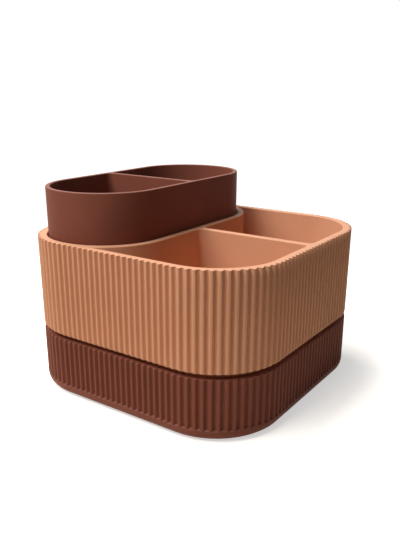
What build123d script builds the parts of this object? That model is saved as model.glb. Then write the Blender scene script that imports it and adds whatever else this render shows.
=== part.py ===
from build123d import *
import math
import os

# A makeup stand of three printed pieces that are stacked by hand: a ribbed lower tray, a ribbed
# upper tray that closes it, and a tall smooth cup that stands in the upper tray's pocket.
# Millimetres, +Z up. The origin is at the middle of the underside, and -Y is the front.

# Plan of both trays
side = 180.0  # width and depth over the rib crests
corner_radius = 46.0  # corners, over the rib crests
wall = 6.0  # from a rib crest to the inner face
floor = 3.0  # floor of each tray

# Ribs round both trays
ribs_per_side = 20  # on the straight run of one side
ribs_per_corner = 15  # on one corner arc
rib_depth = 2.0  # from crest to groove
rib_flats = 4  # flat strips that make the half round of one rib
rib_relief = 0.05  # how far the crests lie behind the smooth band at the base

# Lower tray
lower_height = 40.0
lower_base_rounding = 7.2
lower_land = 0.3  # smooth upright band between the base rounding and the grooves
lower_rim_bevel = 1.2  # ends the ribs at the rim
lower_inner_bevel = 3.0  # inner wall into the floor

# Upper tray
upper_height = 64.5
upper_base_rounding = 5.5
upper_land = 0.8
spigot_depth = 3.0  # ring under the floor that drops into the lower tray
spigot_wall = 2.5
spigot_clearance = 0.4
spigot_lead_in = 0.8
partition = 5.0  # pocket wall
divider = 5.0  # cross wall of the right half
divider_rounding = 3.0  # upright corners beside the divider
wedge_radius = 0.4  # blunt end of the wedge between pocket wall and tray wall
pocket_flat = 0.5  # least half width of the straight run at each end of the pocket

# Cup
cup_clearance = 1.0  # all round, in the pocket
cup_height = 93.0
cup_wall = 3.0
cup_floor = 3.0
cup_divider = 3.0
cup_base_bevel = 1.2
cup_bay_rounding = 4.0  # upright corners beside the cup's divider
cup_floor_bevel = 3.0  # bay walls into the floor

# Top edges of walls and dividers
edge_bevel = 0.6

# Worked out from the sizes above
straight = side - 2 * corner_radius
inner_side = side - 2 * wall
inner_radius = corner_radius - wall
upper_floor_top = lower_height + floor
pocket_width = (inner_side - partition) / 2
pocket_middle = -(inner_side + partition) / 4
pocket_radius = min(inner_radius, pocket_width / 2 - pocket_flat)


def outline_point(step, inset):
    """A point of the tray outline, counted in ribs from the left end of the front face."""
    quarter, along = divmod(step, ribs_per_side + ribs_per_corner)
    if along <= ribs_per_side:
        x = straight * (along / ribs_per_side - 0.5)
        y = inset - side / 2
    else:
        turn = math.radians(90 * (along - ribs_per_side) / ribs_per_corner)
        radius = corner_radius - inset
        x = straight / 2 + radius * math.sin(turn)
        y = -straight / 2 - radius * math.cos(turn)
    return Vector(x, y).rotate(Axis.Z, 90 * quarter)


def ribbed_section():
    """The trays' outline: half-round ribs side by side, each drawn with a few flat strips."""
    corners = []
    for rib in range(4 * (ribs_per_side + ribs_per_corner)):
        for strip in range(rib_flats):
            turn = math.pi * strip / rib_flats
            inset = rib_relief + rib_depth * (1 - math.sin(turn))
            corners.append(outline_point(rib - 0.5 * math.cos(turn), inset))
    return make_face(Polyline(*corners, close=True))


def ribbed_block(height, base_rounding, land):
    """A solid tray: ribs that stand on the ledge of a smooth rounded base."""
    band = base_rounding + land
    base = extrude(RectangleRounded(side, side, corner_radius), band)
    base = fillet(base.edges().group_by(Axis.Z)[0], base_rounding)
    return base + Pos(0, 0, band) * extrude(ribbed_section(), height - band)


def inner_outline(inset=0.0):
    """The tray's inner face in plan, or a line that lies inset from it."""
    return RectangleRounded(inner_side - 2 * inset, inner_side - 2 * inset, inner_radius - inset)


def pocket_outline(inset=0.0):
    """The pocket of the cup in plan, or a line that lies inset from it."""
    width = pocket_width - 2 * inset
    length = inner_side - 2 * inset
    return Pos(pocket_middle, 0) * RectangleRounded(width, length, pocket_radius - inset)


def side_compartment():
    """The front compartment of the upper tray's right half, in plan."""
    half = inner_side / 2
    arc_middle = half - inner_radius
    outer_radius = pocket_radius + partition
    pocket_centre = Vector(partition / 2 - outer_radius, pocket_radius - half)
    wedge_drop = pocket_radius - wedge_radius
    wedge_reach = math.sqrt((outer_radius + wedge_radius) ** 2 - wedge_drop**2)
    wedge_centre = pocket_centre + Vector(wedge_reach, -wedge_drop)
    to_pocket = (pocket_centre - wedge_centre).normalized()
    wedge_tip = wedge_centre + wedge_radius * to_pocket
    wedge_end = wedge_centre - Vector(0, wedge_radius)
    wedge_side = wedge_centre + wedge_radius * (to_pocket - Vector(0, 1)).normalized()
    pocket_corner = Vector(partition / 2, pocket_centre.Y)
    pocket_turn = ((wedge_tip - pocket_centre).normalized() + Vector(1, 0)).normalized()
    tray_corner = Vector(arc_middle, -arc_middle) + inner_radius * Vector(1, -1).normalized()
    outline = [
        Line((partition / 2, -divider / 2), (half, -divider / 2)),
        Line((half, -divider / 2), (half, -arc_middle)),
        ThreePointArc((half, -arc_middle), tray_corner, (arc_middle, -half)),
        Line((arc_middle, -half), wedge_end),
        ThreePointArc(wedge_end, wedge_side, wedge_tip),
        ThreePointArc(wedge_tip, pocket_centre + outer_radius * pocket_turn, pocket_corner),
        Line(pocket_corner, (partition / 2, -divider / 2)),
    ]
    compartment = make_face(outline)
    return fillet(compartment.vertices().group_by(Axis.Y)[-1], divider_rounding)


def make_lower_tray():
    """The open bottom tray, whose ribs end at a bevelled rim."""
    envelope = extrude(RectangleRounded(side, side, corner_radius), lower_height)
    envelope = chamfer(envelope.edges().group_by(Axis.Z)[-1], lower_rim_bevel)
    hollow = Pos(0, 0, floor) * extrude(inner_outline(), lower_height - floor)
    hollow = chamfer(hollow.edges().group_by(Axis.Z)[0], lower_inner_bevel)
    return (ribbed_block(lower_height, lower_base_rounding, lower_land) & envelope) - hollow


def make_upper_tray():
    """The top tray, with the cup's pocket, two compartments and the ring that centres it."""
    front = side_compartment()
    plan = pocket_outline() + front + mirror(front, about=Plane.XZ)
    hollows = Pos(0, 0, floor) * extrude(plan, upper_height - floor)
    tray = ribbed_block(upper_height, upper_base_rounding, upper_land) - hollows
    mouths = tray.faces().sort_by(Axis.Z)[-1].inner_wires().edges()
    tray = chamfer(mouths, edge_bevel)
    ring = extrude(inner_outline(spigot_clearance), -spigot_depth)
    ring = chamfer(ring.edges().group_by(Axis.Z)[0], spigot_lead_in)
    ring -= extrude(inner_outline(spigot_clearance + spigot_wall), -spigot_depth)
    return Pos(0, 0, lower_height) * (tray + ring)


def make_cup():
    """The tall cup, with one cross wall that makes two bays."""
    cup = extrude(pocket_outline(cup_clearance), cup_height)
    cup = chamfer(cup.edges().group_by(Axis.Z)[0], cup_base_bevel)
    middle_wall = Pos(pocket_middle, 0) * Rectangle(pocket_width, cup_divider)
    bays = pocket_outline(cup_clearance + cup_wall) - middle_wall
    for bay in bays.faces():
        corners = bay.vertices().sort_by(lambda corner: abs(corner.Y))[:2]
        bay = extrude(fillet(corners, cup_bay_rounding), cup_height - cup_floor)
        bay = chamfer(bay.edges().group_by(Axis.Z)[0], cup_floor_bevel)
        cup -= Pos(0, 0, cup_floor) * bay
    cup = chamfer(cup.edges().group_by(Axis.Z)[-1], edge_bevel)
    return Pos(0, 0, upper_floor_top) * cup


os.makedirs("parts", exist_ok=True)
export_step(make_lower_tray(), "parts/lower_tray.step")
export_step(make_upper_tray(), "parts/upper_tray.step")
export_step(make_cup(), "parts/brush_cup.step")
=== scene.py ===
# %% [markdown]
# # A makeup stand, printed in three pieces
#
# The stand is a dark brown tray with ribs round its outside, a caramel tray that closes it, and a
# tall smooth cup that stands loose in a pocket of the caramel tray. All three are 3-D prints, held
# together by nothing but their weight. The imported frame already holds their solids, their sizes and
# the two ways they lift off, so this lesson starts from it and never moves it.

import math

import bmesh
import bpy
from mathutils import Matrix, Vector


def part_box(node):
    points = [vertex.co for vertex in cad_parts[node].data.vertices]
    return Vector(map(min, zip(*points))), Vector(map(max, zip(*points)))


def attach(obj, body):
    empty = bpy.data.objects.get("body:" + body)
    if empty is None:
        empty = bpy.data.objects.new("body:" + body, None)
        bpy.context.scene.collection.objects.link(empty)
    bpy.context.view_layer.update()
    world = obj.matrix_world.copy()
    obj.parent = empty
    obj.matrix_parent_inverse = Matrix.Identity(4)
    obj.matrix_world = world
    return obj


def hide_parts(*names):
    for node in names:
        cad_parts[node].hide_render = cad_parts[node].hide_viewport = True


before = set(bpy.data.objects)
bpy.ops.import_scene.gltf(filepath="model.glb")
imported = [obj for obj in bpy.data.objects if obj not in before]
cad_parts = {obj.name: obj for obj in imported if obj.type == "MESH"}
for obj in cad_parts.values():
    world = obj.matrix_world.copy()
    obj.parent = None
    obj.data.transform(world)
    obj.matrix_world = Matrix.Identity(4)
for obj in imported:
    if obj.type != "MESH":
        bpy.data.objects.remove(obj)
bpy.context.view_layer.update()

# %% [markdown]
# ## Sizes from the frame
#
# A designer draws such a stand in millimetres, so the meshes here are modelled in millimetres and
# made metres at the end. Whatever the frame can tell is read from it: the half width of the trays,
# the seam between them, the rim, and the corners of the cup. What is left are the sizes that a box
# can't tell, such as the wall and the roundness of the corners.

# %% Sizes
MM = 0.001
lower_low, lower_high = (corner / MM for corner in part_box("lower_tray"))
upper_low, upper_high = (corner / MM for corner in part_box("upper_tray"))
cup_low, cup_high = (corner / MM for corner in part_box("brush_cup"))
half_side = lower_high.x
seam = lower_high.z
rim = upper_high.z
ring_bottom = upper_low.z
corner_radius = 46.0
corner_middle = half_side - corner_radius
wall = 6.0
inner_half = half_side - wall
floor = 3.0
print(f"trays {2 * half_side:.1f} mm wide, seam at {seam:.1f} mm, rim at {rim:.1f} mm")

# %% [markdown]
# ## One flute of the wall
#
# The outside of both trays is a row of upright ribs with soft grooves between them, which is a wave
# in plan. It could be made by moving the points of a fine grid, but a strip of the wall from one
# crest to the next says more about the form. A point winds half a turn round a level line while it
# moves along it, the coil is laid flat, which leaves half a wave, the top of the wave is pressed a
# little flat, and a mirror gives the other half. So the strip's middle is the groove.

# %% The rib's outline
flutes_per_side = 20
flutes_per_corner = 15
pitch = 2 * corner_middle / flutes_per_side
rib_depth = 1.8
crest_press = 0.4
rib_steps = 8
join_distance = 0.01  # points that lie closer become one


def flute_outline(bm, height):
    """The plan of one flute of the front wall, from crest to crest, as a row of edges."""
    crest = bm.verts.new((-pitch / 2, -half_side - crest_press, height))
    line = (-pitch / 2, (rib_depth - crest_press) / 2 - half_side, height)
    half_turn = math.radians(180)
    step = (pitch / 2 / rib_steps, 0, 0)
    along = (1, 0, 0)
    bmesh.ops.spin(
        bm, geom=[crest], cent=line, axis=along, angle=half_turn, dvec=step, steps=rib_steps
    )
    to_floor = Matrix.Translation((0, 0, -height))
    bmesh.ops.scale(bm, vec=(1, 1, 0), space=to_floor, verts=bm.verts)
    for vert in bm.verts:
        vert.co.y = max(vert.co.y, -half_side)
    bmesh.ops.mirror(bm, geom=[*bm.verts, *bm.edges], axis="X", merge_dist=join_distance)
    return list(bm.edges)


print(f"rib pitch {pitch:.2f} mm on the straight, {rib_depth:.1f} mm deep")

# %% [markdown]
# ## From the outline to a wall
#
# Going up or down, the outline is extruded from level to level. At a level its crests are pressed
# back, where an edge is rounded, or its groove is pressed out, where it runs out on the smooth base.
# Where both presses meet, the row is a straight line, and the wall is smooth. So one helper makes
# rib ends, bands, roundings, inner walls and floor edges alike.

# %% Extrude and press


def grow(bm, edges, levels):
    """Extrudes a row of edges through levels, each with a height, a least and a most inset."""
    for height, least, most in levels:
        grown = bmesh.ops.extrude_edge_only(bm, edges=edges)["geom"]
        edges = [item for item in grown if isinstance(item, bmesh.types.BMEdge)]
        for vert in (item for item in grown if isinstance(item, bmesh.types.BMVert)):
            vert.co.z = height
            vert.co.y = min(max(vert.co.y, least - half_side), most - half_side)


def quarter_round(radius, steps):
    """Points of a rounding as pairs: how far in, and how far along the upright face."""
    turns = [math.radians(90) * step / steps for step in range(1, steps + 1)]
    return [(radius * (1 - math.cos(turn)), radius * math.sin(turn)) for turn in turns]


def smooth(points):
    """Levels without ribs, from pairs of height and inset."""
    return [(height, inset, inset) for height, inset in points]


sample = [(round(inset, 2), round(along, 2)) for inset, along in quarter_round(2, steps=4)]
print("rounding of 2 mm in 4 steps:", sample)

# %% [markdown]
# ## Walk the strip round the tray
#
# The strip is copied along a straight side and, bent to its share of the corner, round one corner.
# Spin does both: with a step and no turn it is a straight array, with a turn it goes round the
# corner's middle. That makes a quarter of the tray, which spins round to the other three.

# %% Repeat the flute


def bend_to_corner(verts):
    """Bends the strip at the front to the first flute of the corner on its right."""
    share = math.radians(90) / flutes_per_corner
    for vert in verts:
        turn = share * (vert.co.x / pitch + 0.5)
        reach = -corner_middle - vert.co.y
        vert.co.x = corner_middle + reach * math.sin(turn)
        vert.co.y = -corner_middle - reach * math.cos(turn)


def walk_round(bm):
    """Copies the one strip in bm round the whole tray and joins the copies."""
    upright = (0, 0, 1)
    strip = [*bm.verts, *bm.edges, *bm.faces]
    bent = bmesh.ops.duplicate(bm, geom=strip)["geom"]
    bend_to_corner([item for item in bent if isinstance(item, bmesh.types.BMVert)])
    first = [item for item in strip if isinstance(item, bmesh.types.BMVert)]
    bmesh.ops.translate(bm, vec=(pitch / 2 - corner_middle, 0, 0), verts=first)
    copies = flutes_per_side - 1
    step = (pitch, 0, 0)
    bmesh.ops.spin(bm, geom=strip, axis=upright, dvec=step, steps=copies, use_duplicate=True)
    copies = flutes_per_corner - 1
    turn = math.radians(90) * copies / flutes_per_corner
    middle = (corner_middle, -corner_middle, 0)
    bmesh.ops.spin(
        bm, geom=bent, cent=middle, axis=upright, angle=turn, steps=copies, use_duplicate=True
    )
    side = [*bm.verts, *bm.edges, *bm.faces]
    turn = math.radians(270)
    bmesh.ops.spin(bm, geom=side, axis=upright, angle=turn, steps=3, use_duplicate=True)
    bmesh.ops.remove_doubles(bm, verts=bm.verts, dist=join_distance)


print("flutes round a tray:", 4 * (flutes_per_side + flutes_per_corner))

# %% [markdown]
# ## Colours and one way to add a node
#
# Filament is sold by colour, and a colour is easiest to read as the hex value on a swatch. Shaders
# work in linear light, so one function converts it. The materials are built from nodes by one small
# helper, which makes a node, sets its properties, and fills or links its inputs.

# %% Colour and node helpers


def linear(swatch):
    """An sRGB hex value as linear RGBA."""
    channels = []
    for place in (1, 3, 5):
        tone = int(swatch[place : place + 2], 16) / 255
        channels.append(tone / 12.92 if tone <= 0.04045 else ((tone + 0.055) / 1.055) ** 2.4)
    return (*channels, 1.0)


def add_node(material, kind, inputs, **settings):
    """Adds a node: settings are its properties, inputs are values or outputs of other nodes."""
    node = material.node_tree.nodes.new(kind)
    for name, value in settings.items():
        setattr(node, name, value)
    for name, value in inputs.items():
        if isinstance(value, bpy.types.NodeSocket):
            material.node_tree.links.new(value, node.inputs[name])
        else:
            node.inputs[name].default_value = value
    return node


print("caramel swatch in linear light:", [round(channel, 3) for channel in linear("#CB916F")])

# %% [markdown]
# ## Matte PLA filament, printed in layers
#
# Matte PLA is PLA with a mineral filler. Its surface scatters light widely, and its colour runs
# through. The nozzle lays it down in layers of about 0.2 mm, which show as fine level lines. Lines
# that fine would vanish in a picture of this size, so they are drawn coarser and very shallow. Level
# faces are smoothed by the nozzle as it passes, so they have more sheen than the layered walls, and
# the sheen follows the way a face looks. A slow cloud of noise makes the tone uneven, as filament is.

# %% Printed plastic
layer_mm = 0.8  # real layers are about 0.2 mm, drawn coarser so that they show
cloud_mm = 14.0
grain_mm = 0.5
relief_mm = 0.05
matte = 0.6  # roughness, which the grain varies a little
matte_spread = 0.06
wall_sheen = 0.1
level_sheen = 0.5
wave_turns = 20.0  # a wave texture turns through this many radians in one unit of its scale


def printed_plastic(name, dark, light):
    """Matte PLA filament, printed in layers, between a dark and a light tone of one colour."""
    material = bpy.data.materials.new(name)
    material.use_nodes = True
    material.node_tree.nodes.clear()
    here = add_node(material, "ShaderNodeTexCoord", {})
    place = here.outputs["Object"]
    facing = add_node(material, "ShaderNodeSeparateXYZ", {"Vector": here.outputs["Normal"]})
    sheen = add_node(
        material,
        "ShaderNodeMapRange",
        {
            "Value": facing.outputs["Z"],
            "From Min": 0.6,
            "From Max": 0.95,
            "To Min": wall_sheen,
            "To Max": level_sheen,
        },
    )
    layer_scale = 2 * math.pi / (wave_turns * layer_mm * MM)
    layers = add_node(
        material,
        "ShaderNodeTexWave",
        {
            "Vector": place,
            "Scale": layer_scale,
            "Distortion": 0.6,
            "Detail": 1.0,
            "Detail Scale": 0.4,
        },
        wave_type="BANDS",
        bands_direction="Z",
    )
    cloud = add_node(
        material,
        "ShaderNodeTexNoise",
        {"Vector": place, "Scale": 1 / (cloud_mm * MM), "Detail": 3.0, "Roughness": 0.6},
    )
    grain = add_node(
        material,
        "ShaderNodeTexNoise",
        {"Vector": place, "Scale": 1 / (grain_mm * MM), "Detail": 2.0, "Roughness": 0.5},
    )
    uneven = add_node(
        material,
        "ShaderNodeMix",
        {"Factor": 0.3, 2: cloud.outputs["Fac"], 3: layers.outputs["Fac"]},
        data_type="FLOAT",
    )
    tone = add_node(
        material,
        "ShaderNodeMix",
        {"Factor": uneven.outputs[0], 6: linear(dark), 7: linear(light)},
        data_type="RGBA",
    )
    dull = add_node(
        material,
        "ShaderNodeMapRange",
        {
            "Value": grain.outputs["Fac"],
            "To Min": matte - matte_spread,
            "To Max": matte + matte_spread,
        },
    )
    relief = add_node(
        material,
        "ShaderNodeBump",
        {"Height": layers.outputs["Fac"], "Strength": 0.12, "Distance": relief_mm * MM},
    )
    pores = add_node(
        material,
        "ShaderNodeBump",
        {
            "Height": grain.outputs["Fac"],
            "Strength": 0.1,
            "Distance": relief_mm * MM,
            "Normal": relief.outputs["Normal"],
        },
    )
    shader = add_node(
        material,
        "ShaderNodeBsdfPrincipled",
        {
            "Base Color": tone.outputs[2],
            "Roughness": dull.outputs["Result"],
            "Normal": pores.outputs["Normal"],
            "IOR": 1.46,
            "Specular IOR Level": sheen.outputs["Result"],
            "Metallic": 0.0,
        },
    )
    add_node(material, "ShaderNodeOutputMaterial", {"Surface": shader.outputs["BSDF"]})
    return material


brown_print = printed_plastic("brown matte PLA filament, printed in layers", "#764233", "#814B3B")
caramel_print = printed_plastic("caramel matte PLA filament, printed in layers", "#CB916F", "#D79B78")
print("materials:", brown_print.name, "and", caramel_print.name)

# %% [markdown]
# ## From a bmesh to a piece on its body
#
# A finished mesh is made metres, its faces are turned outwards, and every face is shaded smooth.
# Edges that turn sharply stay crisp, and so does the border of a level face, which would otherwise
# take a false gradient from the rounding beside it. The piece then stands for its CAD node and
# rides on that node's body.

# %% Finish a piece
crisp_turn = math.radians(40)


def is_level(face):
    """True for a face that lies flat."""
    return abs(face.normal.z) > 0.9999


def make_piece(bm, name, node, body, material):
    """Turns a mesh in millimetres into a piece that replaces a CAD node and rides on a body."""
    bmesh.ops.recalc_face_normals(bm, faces=bm.faces)
    bmesh.ops.scale(bm, vec=(MM, MM, MM), verts=bm.verts)
    bm.normal_update()
    for face in bm.faces:
        face.smooth = True
    for edge in bm.edges:
        level = {is_level(face) for face in edge.link_faces}
        edge.smooth = edge.calc_face_angle(0.0) < crisp_turn and len(level) == 1
    open_edges = sum(not edge.is_manifold for edge in bm.edges)
    mesh = bpy.data.meshes.new(name)
    bm.to_mesh(mesh)
    bm.free()
    mesh.materials.append(material)
    piece = bpy.data.objects.new(name, mesh)
    bpy.context.scene.collection.objects.link(piece)
    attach(piece, body)
    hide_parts(node)
    print(f"{name}: {len(mesh.polygons)} faces, {open_edges} open edges")


print(f"edges stay crisp from a turn of {math.degrees(crisp_turn):.0f} degrees")

# %% [markdown]
# ## The lower tray
#
# A plain open tray: ribs that end in small rounded tips at the rim, grooves that run out above a
# generous rounding at the base, and a smooth inside. The strip is the whole wall in section, so it
# goes up the ribs, over the rim and down the inside to the floor, and down the outside to the
# underside. Two holes are left after the walk, the floor and the underside, and each is filled with
# one level face.

# %% Lower tray
lower_rim_rounding = 0.6
lip = 0.6  # softened edge of every mouth
lip_cut = lip / 3  # how far the middle of the lower tray's lip lies behind its corner
lower_floor_rounding = 3.0
base_rounding = 7.2
smooth_land = 0.3
groove_run_out = 0.8


def base_levels(bottom, rounding, land, run_out, steps):
    """Down from the ribs: grooves that run out, a smooth band, and a rounded edge below."""
    band = bottom + rounding + land
    ends = [(band + run_out * share, 0, rib_depth * share) for share in (1, 0.75, 0.5, 0.25, 0)]
    edge = [(bottom + rounding, 0)]
    edge += [(bottom + rounding - down, inset) for inset, down in quarter_round(rounding, steps)]
    return ends + smooth(edge)


wall_mesh = bmesh.new()
row = flute_outline(wall_mesh, 0.5 * (lower_low.z + lower_high.z))
crests = [(seam - lower_rim_rounding, 0, rib_depth)]
for inset, up in quarter_round(lower_rim_rounding, steps=4):
    crests.append((seam - lower_rim_rounding + up, inset, rib_depth))
inside = [(seam, wall - lip), (seam - lip_cut, wall - lip_cut), (seam - lip, wall)]
inside.append((floor + lower_floor_rounding, wall))
for inset, down in quarter_round(lower_floor_rounding, steps=3):
    inside.append((floor + lower_floor_rounding - down, wall + inset))
grow(wall_mesh, row, crests + smooth(inside))
grow(wall_mesh, row, base_levels(lower_low.z, base_rounding, smooth_land, groove_run_out, steps=6))
walk_round(wall_mesh)
holes = [edge for edge in wall_mesh.edges if edge.is_boundary]
bmesh.ops.holes_fill(wall_mesh, edges=holes, sides=0)
make_piece(wall_mesh, "lower_tray_print", "lower_tray", "base", brown_print)

# %% [markdown]
# ## Hollows
#
# A hollow starts as a flat mouth in the top of a piece. Its corners are rounded by a bevel of the
# corner points, which gives true arcs. The mouth is then inset and lowered in small steps, for a
# soft lip, drawn straight down for the wall, and bevelled round the floor.

# %% Mouths and hollows


def round_corner(bm, corner, radius):
    """Rounds one corner of a flat face, with finer steps on a larger radius, and gives the face."""
    steps = 4 + int(radius / 2)
    made = bmesh.ops.bevel(
        bm, geom=[corner], offset=radius, segments=steps, profile=0.5, affect="VERTICES", material=-1
    )
    return made["verts"][0].link_faces[0]


def rounded_plate(bm, low, high, height, roundings):
    """A level face between two corners in plan, with a radius for each corner, front ones first."""
    corners = bmesh.ops.create_grid(bm, x_segments=1, y_segments=1, size=0.5)["verts"]
    bmesh.ops.scale(bm, vec=(high[0] - low[0], high[1] - low[1], 1), verts=corners)
    middle = ((low[0] + high[0]) / 2, (low[1] + high[1]) / 2, height)
    bmesh.ops.translate(bm, vec=middle, verts=corners)
    for corner, radius in zip(corners, roundings):
        face = round_corner(bm, corner, radius)
    return face


def sink(bm, face, floor_height, floor_rounding):
    """Sinks a mouth into a hollow: a soft lip, an upright wall, and a floor with a rounded edge."""
    before = (0.0, 0.0)
    for down, inwards in quarter_round(lip, steps=3):
        step_in = inwards - before[0]
        step_down = down - before[1]
        bmesh.ops.inset_region(
            bm,
            faces=[face],
            thickness=step_in,
            depth=-step_down,
            use_even_offset=True,
            use_boundary=True,
        )
        before = (inwards, down)
    face = bmesh.ops.extrude_discrete_faces(bm, faces=[face])["faces"][0]
    drop = floor_height - face.calc_center_median().z
    bmesh.ops.translate(bm, vec=(0, 0, drop), verts=face.verts)
    bmesh.ops.bevel(
        bm,
        geom=list(face.edges),
        offset=floor_rounding,
        segments=4,
        profile=0.5,
        affect="EDGES",
        material=-1,
    )


print(f"lips of {lip} mm on every mouth")

# %% [markdown]
# ## The compartments beside the pocket
#
# The right half of the caramel tray has a compartment in front and one behind, with a cross wall
# between. Each is bounded by the tray's wall on two sides and by the round back of the cup's pocket
# on the third, where the two walls close to a blunt wedge. The mouth is drawn as one line: spins
# make its three arcs, straight edges join them, and the two corners at the cross wall are rounded.

# %% Compartment mouth
partition = 5.0
divider = 5.0
pocket_radius = corner_radius - wall
pocket_back = pocket_radius + partition
wedge_radius = 0.4
compartment_floor_rounding = 0.3  # less than the wedge's radius, or the floor's edge folds there
divider_rounding = 3.0


def compartment_mouth(bm):
    """The mouth of the front compartment, a level face in the rim."""
    reach = inner_half + lip
    near = partition / 2 - lip
    across = divider / 2 - lip
    pocket = Vector((partition / 2 - pocket_back, pocket_radius - inner_half, rim))
    wedge_drop = pocket_radius - wedge_radius
    wedge_reach = math.sqrt((pocket_back + wedge_radius) ** 2 - wedge_drop**2)
    wedge = pocket + Vector((wedge_reach, -wedge_drop, 0))
    lean = math.atan2(wedge.y - pocket.y, wedge.x - pocket.x)
    upright = (0, 0, 1)
    right_end = bm.verts.new((reach, -corner_middle, rim))
    middle = (corner_middle, -corner_middle, rim)
    turn = -math.radians(90)
    arc = bmesh.ops.spin(bm, geom=[right_end], cent=middle, axis=upright, angle=turn, steps=20)
    front_end = arc["geom_last"][0]
    pocket_end = bm.verts.new((near, pocket.y, rim))
    arc = bmesh.ops.spin(bm, geom=[pocket_end], cent=pocket, axis=upright, angle=lean, steps=16)
    tip = arc["geom_last"][0]
    turn = math.radians(90) - lean
    arc = bmesh.ops.spin(bm, geom=[tip], cent=wedge, axis=upright, angle=turn, steps=8)
    wedge_end = arc["geom_last"][0]
    near_corner = bm.verts.new((near, -across, rim))
    far_corner = bm.verts.new((reach, -across, rim))
    runs = [(front_end, wedge_end), (pocket_end, near_corner), (near_corner, far_corner)]
    for start, end in [*runs, (far_corner, right_end)]:
        bm.edges.new((start, end))
    face = bmesh.ops.contextual_create(bm, geom=list(bm.edges))["faces"][0]
    if face.normal.z < 0:
        face.normal_flip()
    round_corner(bm, near_corner, divider_rounding + lip)
    return round_corner(bm, far_corner, divider_rounding + lip)


compartments = bmesh.new()
sink(compartments, compartment_mouth(compartments), seam + floor, compartment_floor_rounding)
front_one = [*compartments.verts, *compartments.edges, *compartments.faces]
bmesh.ops.mirror(compartments, geom=front_one, axis="Y")
print("compartments:", len(compartments.faces), "faces")

# %% [markdown]
# ## The upper tray's outside
#
# Its outside is the same flute. Above the ribs the rim is flat, so the strip ends there with only a
# touch of softness. Below, the ribs run down to a slightly rounded edge that stays some millimetres
# above the lower tray, and the dark gap under it is the line that parts the two colours. Behind the
# gap the strip goes down to the seam, where the tray rests, and draws the ring that drops into the
# lower tray and centres it.

# %% Upper tray's outside
rim_softness = 0.4
ring_clearance = 0.4
ring_wall = 2.5
ring_lead_in = 0.8
gap_height = 3.4
gap_depth = 5.5
# Pairs of height above the seam and inset, from the ribs down to the gap
lower_edge = [(5.5, 0.0), (4.8, 0.1), (4.1, 0.2), (3.7, 0.5), (gap_height, 0.9)]

tray_mesh = bmesh.new()
mid_height = 0.5 * (seam + rim)
row = flute_outline(tray_mesh, mid_height)
crests = [(rim - rim_softness, 0, rib_depth)]
for inset, up in quarter_round(rim_softness, steps=2):
    crests.append((rim - rim_softness + up, inset, rib_depth))
grow(tray_mesh, row, crests)
ring_out = wall + ring_clearance
ring_in = ring_out + ring_wall
under = [(seam, ring_out), (ring_bottom + ring_lead_in, ring_out)]
under += [(ring_bottom, ring_out + ring_lead_in), (ring_bottom, ring_in), (seam, ring_in)]
outside = [(seam + height, inset, rib_depth) for height, inset in lower_edge]
outside += smooth([(seam + gap_height, gap_depth), (seam, gap_depth)])
grow(tray_mesh, row, outside + smooth(under))
walk_round(tray_mesh)
open_ends = [edge for edge in tray_mesh.edges if edge.is_boundary]
underside = [edge for edge in open_ends if edge.verts[0].co.z < mid_height]
bmesh.ops.holes_fill(tray_mesh, edges=underside, sides=0)
print(f"gap of {gap_height} mm above the seam, ring {seam - ring_bottom:.1f} mm deep below it")

# %% [markdown]
# ## The upper tray's top
#
# The pocket for the cup fills the left half, and the two compartments the right half. The pocket is
# as large as the cup and a clearance round it, so it is worked out from the cup's box. The flat top
# is the face left between the scalloped edge and the three mouths. It could be cut out of a plate,
# but a fill of the open edges, which keeps the holes, needs no cutting.

# %% Upper tray's top
pocket_clearance = 1.0
pocket_floor_rounding = 1.0

margin = pocket_clearance + lip
low = (cup_low.x - margin, cup_low.y - margin)
high = (cup_high.x + margin, cup_high.y + margin)
mouth = rounded_plate(tray_mesh, low, high, rim, [pocket_radius + lip] * 4)
sink(tray_mesh, mouth, seam + floor, pocket_floor_rounding)
joined = bpy.data.meshes.new("compartments")
compartments.to_mesh(joined)
compartments.free()
tray_mesh.from_mesh(joined)
bpy.data.meshes.remove(joined)
top = [edge for edge in tray_mesh.edges if edge.is_boundary]
bmesh.ops.triangle_fill(tray_mesh, edges=top, use_beauty=True, normal=(0, 0, 1))
make_piece(tray_mesh, "upper_tray_print", "upper_tray", "tray", caramel_print)

# %% [markdown]
# ## The cup
#
# The cup is smooth: two long flat sides with full round ends, and one cross wall that makes two
# bays. A rounded plate is drawn up to the cup's height, the edges of its foot and rim are softened,
# and two bays are sunk into its top.

# %% Cup
cup_radius = pocket_radius - pocket_clearance
cup_wall = 3.0
cup_floor = 3.0
cup_divider = 3.0
bay_rounding = 4.0
bay_floor_rounding = 3.0
foot_softness = 1.2

cup_mesh = bmesh.new()
foot = rounded_plate(cup_mesh, cup_low, cup_high, cup_low.z, [cup_radius] * 4)
cap = bmesh.ops.extrude_discrete_faces(cup_mesh, faces=[foot])["faces"][0]
bmesh.ops.translate(cup_mesh, vec=(0, 0, cup_high.z - cup_low.z), verts=cap.verts)
foot_edges = [edge for edge in cup_mesh.edges if edge.is_boundary]
foot = bmesh.ops.holes_fill(cup_mesh, edges=foot_edges, sides=0)["faces"][0]
for face, softness in ((foot, foot_softness), (cap, lip)):
    bmesh.ops.bevel(
        cup_mesh,
        geom=list(face.edges),
        offset=softness,
        segments=3,
        profile=0.5,
        affect="EDGES",
        material=-1,
    )
cap = max(cup_mesh.faces, key=lambda face: face.calc_center_median().z)
bmesh.ops.delete(cup_mesh, geom=[cap], context="FACES_ONLY")
margin = cup_wall - lip
near = cup_divider / 2 - lip
ends = [cup_radius - margin] * 2
corners = [bay_rounding + lip] * 2
left = cup_low.x + margin
right = cup_high.x - margin
front_bay = ((left, cup_low.y + margin), (right, -near), ends + corners)
back_bay = ((left, near), (right, cup_high.y - margin), corners + ends)
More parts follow.
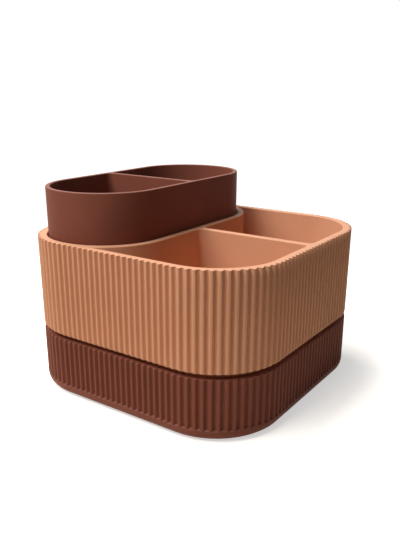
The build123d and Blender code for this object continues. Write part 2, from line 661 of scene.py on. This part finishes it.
for low, high, roundings in (front_bay, back_bay):
    mouth = rounded_plate(cup_mesh, low, high, cup_high.z, roundings)
    sink(cup_mesh, mouth, cup_low.z + cup_floor, bay_floor_rounding)
top = [edge for edge in cup_mesh.edges if edge.is_boundary]
bmesh.ops.triangle_fill(cup_mesh, edges=top, use_beauty=True, normal=(0, 0, 1))
make_piece(cup_mesh, "brush_cup_print", "brush_cup", "cup", brown_print)

# %% [markdown]
# ## White paper
#
# The stand is shown on plain white, as on a sheet of seamless paper. The paper takes the stand's
# soft shadow, so it is a real surface. Near the stand it throws a warm light back up at the walls,
# and further out it has a darker tone, so that it doesn't throw back more than the photo shows. For
# the eye alone a share of plain white is added, which grows with the distance until no horizon
# shows. A small helper finds the rays that reach the eye, also by way of gloss or glass.

# %% White paper
plain_white = linear("#FFFFFF")
paper_near = linear("#EEE7DA")
paper_far = linear("#7C766C")
shade_start = 0.15  # metres from the stand's middle, as are the next three
shade_end = 0.5
glow_start = 0.09
glow_end = 0.24
glow_least = 0.56


def eye_rays(owner):
    """Adds nodes that give 1 for a ray that the eye sees, and 0 for a ray that only lights."""
    rays = add_node(owner, "ShaderNodeLightPath", {}).outputs
    share = rays["Is Camera Ray"]
    for way in ("Is Glossy Ray", "Is Transmission Ray"):
        either = add_node(owner, "ShaderNodeMath", {0: share, 1: rays[way]}, operation="MAXIMUM")
        share = either.outputs[0]
    return share


paper = bpy.data.materials.new("white paper, seamless")
paper.use_nodes = True
paper.node_tree.nodes.clear()
place = add_node(paper, "ShaderNodeTexCoord", {}).outputs["Object"]
away = add_node(paper, "ShaderNodeVectorMath", {0: place}, operation="LENGTH").outputs["Value"]
bright = add_node(
    paper,
    "ShaderNodeMapRange",
    {"Value": away, "From Min": glow_start, "From Max": glow_end, "To Min": glow_least},
    interpolation_type="SMOOTHSTEP",
)
outer = add_node(
    paper,
    "ShaderNodeMapRange",
    {"Value": away, "From Min": shade_start, "From Max": shade_end},
    interpolation_type="SMOOTHSTEP",
)
tint = add_node(
    paper,
    "ShaderNodeMix",
    {"Factor": outer.outputs[0], 6: paper_near, 7: paper_far},
    data_type="RGBA",
)
glow = add_node(
    paper,
    "ShaderNodeMath",
    {0: eye_rays(paper), 1: bright.outputs[0]},
    operation="MULTIPLY",
)
white = add_node(paper, "ShaderNodeEmission", {"Color": plain_white, "Strength": glow.outputs[0]})
matt = add_node(paper, "ShaderNodeBsdfDiffuse", {"Color": tint.outputs[2]})
both = add_node(paper, "ShaderNodeAddShader", {0: white.outputs[0], 1: matt.outputs[0]})
add_node(paper, "ShaderNodeOutputMaterial", {"Surface": both.outputs[0]})
print("material:", paper.name)

# %% [markdown]
# ## The floor
#
# A round sheet is enough, as its edge is never seen. It lies a hair below the stand, so that two
# faces never share one level, and none of the stand's bodies carries it.

# %% Floor
floor_radius = 5.0  # metres
floor_drop = 0.1

paper_mesh = bmesh.new()
bmesh.ops.create_circle(paper_mesh, cap_ends=True, segments=64, radius=floor_radius)
bmesh.ops.translate(paper_mesh, vec=(0, 0, -floor_drop * MM), verts=paper_mesh.verts)
mesh = bpy.data.meshes.new("paper_floor")
paper_mesh.to_mesh(mesh)
paper_mesh.free()
mesh.materials.append(paper)
paper_floor = bpy.data.objects.new("paper_floor", mesh)
bpy.context.scene.collection.objects.link(paper_floor)
print(f"paper floor, {2 * floor_radius:.0f} m across")

# %% [markdown]
# ## The room
#
# A studio is rarely black: its walls send back a little light from everywhere, which keeps the
# deepest shadows open. For the eye the room is plain white, so that it goes on where the paper ends.

# %% Room
room_level = 0.02

world = bpy.data.worlds.new("studio")
bpy.context.scene.world = world
world.use_nodes = True
world.node_tree.nodes.clear()
room = add_node(world, "ShaderNodeBackground", {"Color": plain_white, "Strength": room_level})
white = add_node(world, "ShaderNodeBackground", {"Color": plain_white, "Strength": 1.0})
both = add_node(
    world,
    "ShaderNodeMixShader",
    {0: eye_rays(world), 1: room.outputs[0], 2: white.outputs[0]},
)
add_node(world, "ShaderNodeOutputWorld", {"Surface": both.outputs[0]})
print("room light:", room_level)

# %% [markdown]
# ## Soft boxes
#
# One soft box hangs high on the left and makes the level rims the brightest faces. A larger one
# stands lower, in front and a little to the left, and models the ribs, so the front is bright and
# the right side falls off. A lamp further away needs more power for the same light, so each is given
# the level that a white surface should show, and its power is worked out from that.

# %% Soft boxes
stand_middle = Vector((0, 0, 70)) * MM  # where the lamps point


def soft_box(name, azimuth, elevation, distance, size, level):
    """A square soft box that lights a white surface facing it to level, as seen in the picture."""
    turn = math.radians(azimuth)
    lift = math.radians(elevation)
    level_out = math.cos(lift)
    out = Vector((math.sin(turn) * level_out, -math.cos(turn) * level_out, math.sin(lift)))
    lamp = bpy.data.lights.new(name, "AREA")
    lamp.size = size
    lamp.energy = level * (math.pi * distance) ** 2
    box = bpy.data.objects.new(name, lamp)
    box.location = stand_middle + distance * out
    box.rotation_mode = "QUATERNION"
    box.rotation_quaternion = out.to_track_quat("Z", "Y")
    bpy.context.scene.collection.objects.link(box)
    print(f"{name}: {lamp.energy:.1f} W at {distance} m")


soft_box("key", azimuth=-95, elevation=72, distance=1.3, size=0.5, level=0.72)
soft_box("front", azimuth=-22, elevation=55, distance=1.3, size=0.7, level=0.94)

# %% [markdown]
# ## Camera
#
# The camera stands as it did for the photo: to the right of the front, and a little higher than the
# cup. Its place was found by fitting the edges of the trays and the cup. The picture was cropped, so
# the lens's axis meets it below the middle, and a shift of the lens does the same here.

# %% Camera
azimuth = math.radians(34.78)
elevation = math.radians(18.65)
roll = math.radians(0.15)
target = Vector((-5.63, 9.93, 50.33)) * MM
distance = 455.9 * MM
focal_pixels = 618.3
centre_drop = 29.9  # pixels by which the lens looks lower than the middle of the cropped picture
picture_height = 533  # the longer side, along which the sensor's width lies

back = Vector(
    (
        math.sin(azimuth) * math.cos(elevation),
        -math.cos(azimuth) * math.cos(elevation),
        math.sin(elevation),
    )
)
right = Vector((0, 0, 1)).cross(back).normalized()
up = back.cross(right)
tilt = Matrix.Rotation(roll, 3, back)
axes = Matrix((tilt @ right, tilt @ up, back)).transposed()
lens = bpy.data.cameras.new("camera")
lens.sensor_width = 36.0
lens.lens = focal_pixels * lens.sensor_width / picture_height
lens.shift_y = centre_drop / picture_height
lens.clip_start = 0.01
lens.clip_end = 100.0
camera = bpy.data.objects.new("camera", lens)
camera.rotation_mode = "QUATERNION"
camera.rotation_quaternion = axes.to_quaternion()
camera.location = target + distance * back
bpy.context.scene.collection.objects.link(camera)
bpy.context.scene.camera = camera
bpy.context.scene.view_settings.view_transform = "Standard"
print("camera at", [round(value, 4) for value in camera.location], f"lens {lens.lens:.2f} mm")
